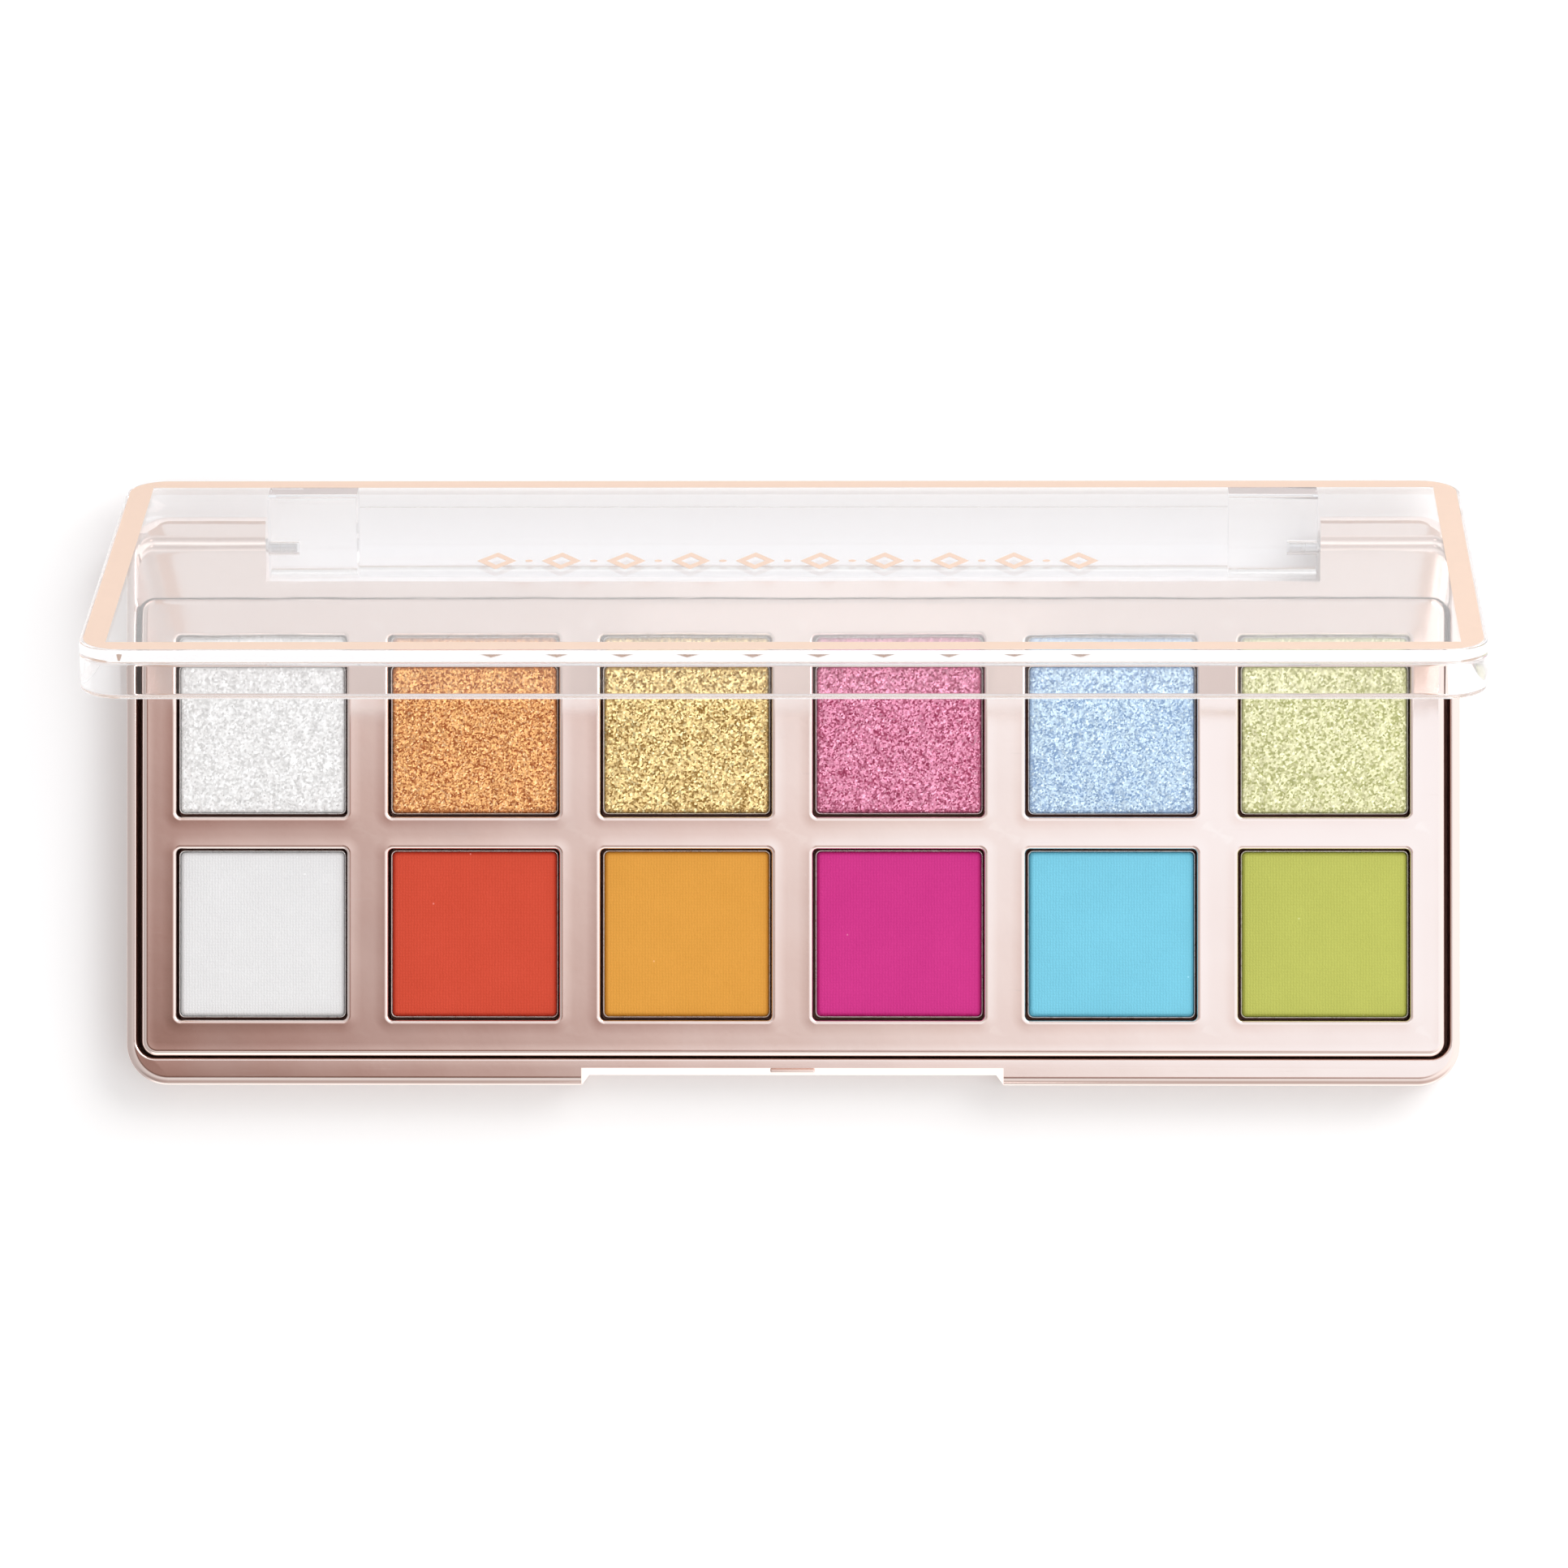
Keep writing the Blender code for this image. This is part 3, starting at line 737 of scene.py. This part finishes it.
def cell_boundary(x, y, segments):
    """The rectangle round a well, with as many points as its outline and in the same order."""
    half_x, half_y = COLUMN_PITCH / 2, (ROW_Y[0] - ROW_Y[1]) / 2
    reach = WELL / 2 - WELL_CORNER
    middle = segments / 2
    points = []
    for sx, sy, along_x_first in ((1, -1, True), (1, 1, False), (-1, 1, True), (-1, -1, False)):
        for i in range(segments + 1):
            before = min(i, middle) / middle
            after = max(i - middle, 0) / middle
            px, py = reach + (half_x - reach) * before, half_y
            if i > middle:
                px, py = half_x, half_y - (half_y - reach) * after
            if not along_x_first:
                px, py = half_x, reach + (half_y - reach) * before
                if i > middle:
                    px, py = half_x - (half_x - reach) * after, half_y
            points.append((x + sx * px, y + sy * py))
    return points


def pan_tray():
    """The deck, a few microns proud round each well and along its own rim."""
    segments = 8
    bm = bmesh.new()
    for _, _, x, y in pan_places():
        levels = [(0.0, WELL_FLOOR_Z)]
        for i in range(7):
            angle = math.pi / 2 * i / 6
            grow = WELL_FILLET * (1 - math.cos(angle))
            levels.append((-grow, DECK_Z - WELL_FILLET * (1 - math.sin(angle))))
        for i in range(1, 9):
            away = LIP_WIDTH * i / 8
            levels.append((-(WELL_FILLET + away), DECK_Z - lip(away, LIP_WIDTH, LIP_RISE)))
        loops = [
            add_loop(bm, outline(span(x, WELL), span(y, WELL), WELL_CORNER, inset, segments), z)
            for inset, z in levels
        ]
        loops.append(add_loop(bm, cell_boundary(x, y, segments), DECK_Z - LIP_RISE))
        join_loops(bm, loops)
        bm.faces.new(loops[0])
    bmesh.ops.remove_doubles(bm, verts=bm.verts, dist=0.001 * MM)
    inner_edges = [e for e in bm.edges if e.is_boundary]
    x, y = (tray_low.x, tray_high.x), (tray_low.y, tray_high.y)
    rim_z = DECK_Z - LIP_RISE + RIM_LIP_RISE
    levels = [(0.0, tray_low.z)] + quarter_round(TRAY_FILLET, rim_z, 8)
    for i in range(1, 6):
        away = RIM_LIP_WIDTH * i / 5
        levels.append((TRAY_FILLET + away, rim_z - lip(away, RIM_LIP_WIDTH, RIM_LIP_RISE)))
    loops = [add_loop(bm, outline(x, y, TRAY_CORNER, inset, 16), z) for inset, z in levels]
    join_loops(bm, loops)
    bm.faces.new(loops[0][::-1])
    last = loops[-1]
    outer_edges = [bm.edges.get((last[i], last[(i + 1) % len(last)])) for i in range(len(last))]
    bmesh.ops.triangle_fill(bm, edges=inner_edges + outer_edges, use_beauty=True, normal=(0.0, 0.0, 1.0))
    bmesh.ops.recalc_face_normals(bm, faces=bm.faces)
    return finish_edges(mark_painted_shade(make_object(bm, "pan_tray_finish"), in_well))


# ---------------------------------------------------------------- pans and powders


def pan(name, x, y):
    """A pressed pan with thin walls and a rounded rim."""
    bottom = pan_low.z
    bm = bmesh.new()
    inset, height = PAN_CHAMFER
    levels = quarter_round(PAN_FOOT_FILLET, bottom, 4, upward=False)
    levels += quarter_round(PAN_WALL / 2, PAN_RIM_Z, 3)
    levels += [(PAN_WALL, PAN_RIM_Z - PAN_WALL / 2), (PAN_WALL, bottom + height), (inset, bottom + PAN_WALL)]
    sides = (span(x, PAN), span(y, PAN), PAN_CORNER)
    loops = [add_loop(bm, outline(*sides, inset, 8), z) for inset, z in levels]
    join_loops(bm, loops)
    bm.faces.new(loops[0][::-1])
    bm.faces.new(loops[-1])
    return finish_edges(make_object(bm, name))


def rounded_square_point(u, v, half, corner):
    """Maps the square grid to a rounded square, ring by ring. Also gives how far out the ring is."""
    ring = max(abs(u), abs(v))
    if ring < 1e-9:
        return 0.0, 0.0, 0.0
    px, py = half * u / ring, half * v / ring
    centre = half - corner
    dx, dy = abs(px) - centre, abs(py) - centre
    if dx > 0 and dy > 0:
        reach = corner / math.hypot(dx, dy)
        px = math.copysign(centre + dx * reach, px)
        py = math.copysign(centre + dy * reach, py)
    return px * ring, py * ring, ring


def powder(name, x, y, relief, cells):
    """A pressed cake: crowned top with a rounded edge, on a square grid that is finer towards the rim."""
    half = POWDER / 2
    corner = PAN_CORNER - PAN_WALL
    bm = bmesh.new()
    grid = []
    for j in range(cells + 1):
        row = []
        for i in range(cells + 1):
            u, v = 2.0 * i / cells - 1.0, 2.0 * j / cells - 1.0
            u, v = u * (1.25 - 0.25 * u * u), v * (1.25 - 0.25 * v * v)
            px, py, ring = rounded_square_point(u, v, half, corner)
            inward = (1.0 - ring) * half
            edge = max(0.0, 1.0 - inward / POWDER_EDGE)
            drop = POWDER_EDGE * (1.0 - math.sqrt(1.0 - edge * edge))
            height = PAN_RIM_Z - POWDER_SINK + POWDER_CROWN * (1.0 - ring**4) - drop
            height += relief(Vector((x + px, y + py, 0.0)) / MM) * (1.0 - edge) * MM
            row.append(bm.verts.new((x + px, y + py, height)))
        grid.append(row)
    for j in range(cells):
        for i in range(cells):
            bm.faces.new((grid[j][i], grid[j][i + 1], grid[j + 1][i + 1], grid[j + 1][i]))
    rim = grid[0][:-1] + [row[-1] for row in grid[:-1]] + grid[-1][:0:-1] + [row[0] for row in grid[:0:-1]]
    foot = [bm.verts.new((v.co.x, v.co.y, pan_low.z + POWDER_FOOT)) for v in rim]
    join_loops(bm, [foot, rim])
    bm.faces.new(foot[::-1])
    made = make_object(bm, name)
    made.data.shade_smooth()
    return made


def matte_relief(at):
    """Faint unevenness left by the press, in mm."""
    return 0.018 * noise.noise(at * 0.25) + 0.006 * noise.noise(at * 1.3)


def shimmer_relief(coarse, fine, streak):
    """A crumbly surface in mm: lumps of size coarse, grains of size fine, drawn out by streak."""

    def relief(at):
        drawn = Vector((at.x, at.y / streak, 7.3))
        lumps = noise.fractal(drawn / coarse, 1.0, 2.1, 3)
        grains = noise.noise(drawn / fine + Vector((31.0, 17.0, 3.0)))
        return 0.07 * lumps + 0.045 * grains - 0.05

    return relief


# ---------------------------------------------------------------- lid


def skirt_profile():
    """The (y, z) outline of the curved wall that hangs behind the hinge."""
    top = LID_RIM_Z + 1.5 * SPARE
    inner = BARREL - SKIRT_WALL
    points = [(HINGE_AT.y + inner, top)]
    points += arc(HINGE_AT.y, HINGE_AT.z, inner, 0.0, -90.0, 20)
    points += arc(HINGE_AT.y, HINGE_AT.z, BARREL, -90.0, 0.0, 28)
    points.append((HINGE_AT.y + BARREL, top))
    return points


def knuckle_profile():
    """The (y, z) outline of a solid knuckle, round under the hinge axis."""
    top = LID_TOP_Z - LID_PLATE / 2
    front = math.degrees(math.acos((KNUCKLE_FRONT_Y - HINGE_AT.y) / BARREL))
    points = [(KNUCKLE_FRONT_Y, top)]
    points += arc(HINGE_AT.y, HINGE_AT.z, BARREL, -front, 0.0, 36)
    points.append((HINGE_AT.y + BARREL, top))
    return points


def lid_shell():
    """The clear lid, modelled closed: plate, walls, skirt and two bored knuckles."""
    x, y = (-HALF_W, HALF_W), (-HALF_D, HALF_D)
    levels = quarter_round(LID_RIM_FILLET, LID_RIM_Z, 4, upward=False)
    levels += quarter_round(LID_FILLET, LID_TOP_Z, 6)
    lid = make_object(loft(x, y, CORNER, levels, segments=20), "lid_shell_finish")
    inner_x = (x[0] + LID_SIDE_WALL, x[1] - LID_SIDE_WALL)
    inner_y = (y[0] + LID_FRONT_WALL, y[1] - LID_SIDE_WALL)
    ceiling = LID_TOP_Z - LID_PLATE
    flare = [(-inset, z) for inset, z in quarter_round(LID_RIM_FILLET, LID_RIM_Z, 4, upward=False)]
    mouth = [(-LID_RIM_FILLET, LID_RIM_Z - SPARE)] + flare
    cavity = [(inset - LID_DRAFT, z) for inset, z in mouth] + quarter_round(LID_CEILING_FILLET, ceiling, 6)
    cut(lid, loft(inner_x, inner_y, LID_INNER_CORNER, cavity, segments=16))
    unite(lid, extruded_profile(skirt_profile(), (-SKIRT_HALF, SKIRT_HALF)))
    for side in (-1, 1):
        block = sorted((side * (SKIRT_HALF - KNUCKLE_WIDTH), side * SKIRT_HALF))
        unite(lid, extruded_profile(knuckle_profile(), block))
        bore = sorted((side * BORE_INNER_X, side * (SKIRT_HALF + SPARE)))
        cut(lid, x_cylinder(BORE_RADIUS, bore))
    lid.data.transform(OPEN)
    return finish_edges(lid, LID_EDGE_ROUND)


def flat_sheet(outer, hole=None):
    """A thin sheet of ink on the closed lid's top, with an optional hole."""
    bm = bmesh.new()
    edges = []
    for points in [outer] + ([hole] if hole else []):
        verts = add_loop(bm, points, PRINT_Z)
        edges += [bm.edges.new((verts[i], verts[(i + 1) % len(verts)])) for i in range(len(verts))]
    bmesh.ops.triangle_fill(bm, edges=edges, use_beauty=True, normal=(0.0, 0.0, 1.0))
    drawn = bmesh.ops.extrude_face_region(bm, geom=list(bm.faces))["geom"]
    moved = [v for v in drawn if isinstance(v, bmesh.types.BMVert)]
    bmesh.ops.translate(bm, verts=moved, vec=(0.0, 0.0, PRINT_THICKNESS))
    bmesh.ops.recalc_face_normals(bm, faces=bm.faces)
    return bm


def printed_border():
    x, y = (-HALF_W, HALF_W), (-HALF_D, HALF_D)
    outer = outline(x, y, CORNER, BORDER_INSET, 20)
    hole = outline(x, y, BORDER_HOLE_CORNER, BORDER_INSET + BORDER_WIDTH, 1)
    border = make_object(flat_sheet(outer, hole), "printed_border")
    border.data.transform(OPEN)
    return border


def lozenge(x, scale=1.0):
    """The corners of a lozenge at x in the row, anticlockwise from the right."""
    half_x, half_y = scale * LOZENGE[0] / 2, scale * LOZENGE[1] / 2
    y = ORNAMENT_Y
    return [(x + half_x, y), (x, y + half_y), (x - half_x, y), (x, y - half_y)]


def add_sheet(whole, sheet):
    """Adds one sheet of ink to the mesh of the whole row."""
    mesh = bpy.data.meshes.new("sheet")
    sheet.to_mesh(mesh)
    sheet.free()
    whole.from_mesh(mesh)
    bpy.data.meshes.remove(mesh)


def printed_row():
    """A generic ornament: a row of pierced lozenges with a dot between each two."""
    whole = bmesh.new()
    sides = 16
    for i in range(ORNAMENTS):
        x = (i - (ORNAMENTS - 1) / 2) * ORNAMENT_PITCH
        add_sheet(whole, flat_sheet(lozenge(x), lozenge(x, PIERCING)))
        if i + 1 < ORNAMENTS:
            dot = arc(x + ORNAMENT_PITCH / 2, ORNAMENT_Y, DOT / 2, 0.0, 360.0 - 360.0 / sides, sides - 1)
            add_sheet(whole, flat_sheet(list(dot)))
    row = make_object(whole, "printed_row")
    row.data.transform(OPEN)
    return row


# ---------------------------------------------------------------- assembly

# name, dark colour, pale colour, flake size in mm, flake lean, metallic, relief (coarse, fine, streak)
SHIMMERS = (
    ("silver_white", (0.73, 0.73, 0.72), (0.88, 0.88, 0.87), 0.24, 0.35, 0.2, (1.1, 0.35, 1.5)),
    ("copper_orange", (0.46, 0.10, 0.02), (0.88, 0.46, 0.17), 0.18, 0.9, 0.6, (1.4, 0.30, 1.0)),
    ("gold_foil", (0.40, 0.21, 0.04), (0.92, 0.70, 0.32), 0.22, 1.0, 0.7, (1.3, 0.45, 1.0)),
    ("pink_shimmer", (0.42, 0.04, 0.12), (0.76, 0.28, 0.43), 0.2, 0.9, 0.5, (1.6, 0.30, 1.0)),
    ("ice_blue", (0.29, 0.45, 0.72), (0.57, 0.73, 0.86), 0.2, 0.6, 0.35, (1.6, 0.30, 1.0)),
    ("lime_shimmer", (0.50, 0.52, 0.20), (0.80, 0.79, 0.49), 0.24, 0.6, 0.35, (0.9, 0.40, 1.3)),
)
MATTES = (
    ("matte_white", (0.80, 0.80, 0.80)),
    ("matte_red", (0.65, 0.070, 0.033)),
    ("matte_mustard", (0.755, 0.345, 0.052)),
    ("matte_magenta", (0.63, 0.031, 0.245)),
    ("matte_sky", (0.195, 0.61, 0.785)),
    ("matte_green", (0.505, 0.535, 0.115)),
)


def dress(piece, body, slot, materials, *nodes):
    """Gives a piece its materials and body, and hides the CAD nodes that it stands for. Its slot argument is
    not used.
    """
    marks = [polygon.material_index for polygon in piece.data.polygons]
    piece.data.materials.clear()
    for material in materials:
        piece.data.materials.append(material)
    piece.data.polygons.foreach_set("material_index", marks)
    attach(piece, body)
    if nodes:
        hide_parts(*nodes)
    return piece


def repaint(node_name, material):
    cad = frame["nodes"][node_name]
    for slot in cad.material_slots:
        slot.material = material


def build_palette():
    noise.seed_set(SEED)
    rose_gold = rose_gold_material()
    # The second material paints shade into the pocket and the wells.
    gold_and_painted_shade = (rose_gold, painted_gap_shade_material())
    tinplate = tinplate_material()
    glue = glue_material()
    dress(base_shell(), "base", "rose_gold", gold_and_painted_shade, "base_shell")
    dress(catch_nib(), "base", "rose_gold", (rose_gold,))
    dress(pan_tray(), "base", "rose_gold", gold_and_painted_shade, "pan_tray")
    for row, column, x, y in pan_places():
        pan_name = pan_node("pan", row, column)
        powder_name = pan_node("powder", row, column)
        off_x, off_y = loose(row, column)
        x, y = x + off_x, y + off_y
        dress(pan(f"{pan_name}_finish", x, y), "base", "tinplate", (tinplate,), pan_name)
        if row == 0:
            shade, dark, pale, grain, tilt, metal, relief = SHIMMERS[column]
            finish = shimmer_material(shade, dark, pale, grain * MM, tilt, metal, (x, y))
            cake = powder(f"{powder_name}_finish", x, y, shimmer_relief(*relief), SHIMMER_CELLS)
        else:
            shade, colour = MATTES[column]
            finish = matte_material(shade, colour, (x, y))
            cake = powder(f"{powder_name}_finish", x, y, matte_relief, MATTE_CELLS)
        dress(cake, "base", shade, (finish,), powder_name)
        repaint(pan_node("glue_dot", row, column), glue)
    steel = steel_material()
    for side in ("left", "right"):
        repaint(f"hinge_pin_{side}", steel)
    dress(lid_shell(), "lid", "clear_plastic", (clear_plastic_material(),), "lid_shell")
    ink = (print_material(),)
    dress(printed_border(), "lid", "lid_print", ink)
    dress(printed_row(), "lid", "lid_print", ink)


# ---------------------------------------------------------------- studio

CAMERA_AT = Vector((20.94, -5.07, 1041.66)) * MM
CAMERA_PITCH = 0.0072
CAMERA_YAW = 0.0212
CAMERA_ROLL = 0.0001
CAMERA_LENS = 196.87

FLOOR_HALF = 2.5  # metres
FLOOR_DROP = 0.02 * MM

# Colours of the room round the palette, dim on the left and bright on the right
DIM_WALL = (0.55, 0.53, 0.53)
BRIGHT_WALL = (1.20, 1.20, 1.20)
DIM_ROSE = (0.13, 0.07, 0.055)
BRIGHT_ROSE = (0.60, 0.44, 0.39)
FRONT_SHEET = (1.4, 1.4, 1.4)
BACK_SHEET = (0.75, 0.74, 0.74)

# Colours along the soft edge of the light overhead, from the dim side to the bright side
OVERHEAD = (
    (0.0, (0.19, 0.11, 0.088)),
    (0.15, (0.33, 0.204, 0.174)),
    (0.25, (0.465, 0.31, 0.278)),
    (0.35, (0.62, 0.50, 0.47)),
    (0.45, (0.81, 0.69, 0.66)),
    (0.55, (0.96, 0.887, 0.877)),
    (0.64, (1.06, 1.10, 1.13)),
    (0.75, (1.09, 1.166, 1.23)),
    (1.0, (1.10, 1.19, 1.26)),
)


def build_camera():
    data = bpy.data.cameras.new("camera")
    data.sensor_width = 36.0
    data.lens = CAMERA_LENS
    data.clip_start = 0.01
    camera = bpy.data.objects.new("camera", data)
    bpy.context.scene.collection.objects.link(camera)
    turn = Matrix.Rotation(CAMERA_ROLL, 4, "Z") @ Matrix.Rotation(CAMERA_PITCH, 4, "X")
    camera.matrix_world = Matrix.Translation(CAMERA_AT) @ turn @ Matrix.Rotation(CAMERA_YAW, 4, "Y")
    bpy.context.scene.camera = camera


def build_floor():
    bm = bmesh.new()
    bmesh.ops.create_grid(bm, x_segments=1, y_segments=1, size=FLOOR_HALF)
    floor = make_object(bm, "floor")
    material, tree, shader = new_material("floor")
    shader.inputs["Base Color"].default_value = (0.99, 0.99, 0.99, 1.0)
    shader.inputs["Roughness"].default_value = 0.9
    shader.inputs["Specular IOR Level"].default_value = 0.0
    floor.data.materials.append(material)
    floor.location.z = -FLOOR_DROP


def rise(tree, value, start, end, top=1.0):
    """A smooth step from nought up to top."""
    return ramp(tree, value, 0.0, top, start, end, smooth=True)


def fall(tree, value, start, end):
    """A smooth step from one down to nought."""
    return ramp(tree, value, 1.0, 0.0, start, end, smooth=True)


def build_world():
    """A room dim to the left, with pale sheets before and behind and a soft edge of light overhead."""
    world = bpy.data.worlds.new("studio")
    bpy.context.scene.world = world
    world.use_nodes = True
    tree = world.node_tree
    direction = node(tree, "ShaderNodeTexCoord").outputs["Generated"]
    split = node(tree, "ShaderNodeSeparateXYZ", {0: direction}).outputs
    slope = maths(tree, "ADD", split["X"], split["Y"])
    overhead = node(tree, "ShaderNodeValToRGB", {0: ramp(tree, slope, 0.0, 1.0, -0.16, 0.10)})
    stops = overhead.color_ramp.elements
    while len(stops) > 1:
        stops.remove(stops[-1])
    for place, colour in OVERHEAD:
        stop = stops.new(place) if place > 0.0 else stops[0]
        stop.position = place
        stop.color = (*colour, 1.0)
    across = rise(tree, split["X"], -0.7, 0.5)
    front = fall(tree, split["Y"], -0.55, -0.3)
    sides = mix_colour(tree, across, DIM_WALL, BRIGHT_WALL)
    rose = mix_colour(tree, across, DIM_ROSE, BRIGHT_ROSE)
    above = rise(tree, split["Z"], 0.66, 0.76, top=0.72)
    shaded = mix_colour(tree, maths(tree, "MULTIPLY", front, above), sides, rose)
    below = fall(tree, split["Z"], 0.58, 0.68)
    middle = fall(tree, maths(tree, "ABSOLUTE", split["X"]), 0.3, 0.55)
    sheet = maths(tree, "MULTIPLY", maths(tree, "MULTIPLY", front, below), middle)
    walls = mix_colour(tree, sheet, shaded, FRONT_SHEET)
    room = mix_colour(tree, rise(tree, split["Y"], 0.35, 0.8), walls, BACK_SHEET)
    studio = mix_colour(tree, rise(tree, split["Z"], 0.955, 0.988), room, overhead.outputs[0])
    seen = node(tree, "ShaderNodeLightPath").outputs["Is Camera Ray"]
    colour = mix_colour(tree, seen, studio, (1.0, 1.0, 1.0))
    tree.links.new(colour, tree.nodes["Background"].inputs["Color"])


def area_light(name, at, size, radiance):
    """A soft box that faces the palette, with the size of its sides and its brightness."""
    data = bpy.data.lights.new(name, "AREA")
    data.shape = "RECTANGLE"
    data.size, data.size_y = size
    data.energy = radiance * math.pi * size[0] * size[1]
    light = bpy.data.objects.new(name, data)
    light.location = at
    light.rotation_euler = Vector(at).to_track_quat("Z", "Y").to_euler()
    bpy.context.scene.collection.objects.link(light)


def build_studio():
    build_camera()
    build_floor()
    build_world()
    area_light("key", (0.85, 0.85, 1.0), (1.1, 1.0), 3.3)
    area_light("front_box", (-0.011, -0.72, 0.92), (0.11, 0.09), 1.0)
    bpy.context.scene.view_settings.view_transform = "Standard"


build_palette()
build_studio()
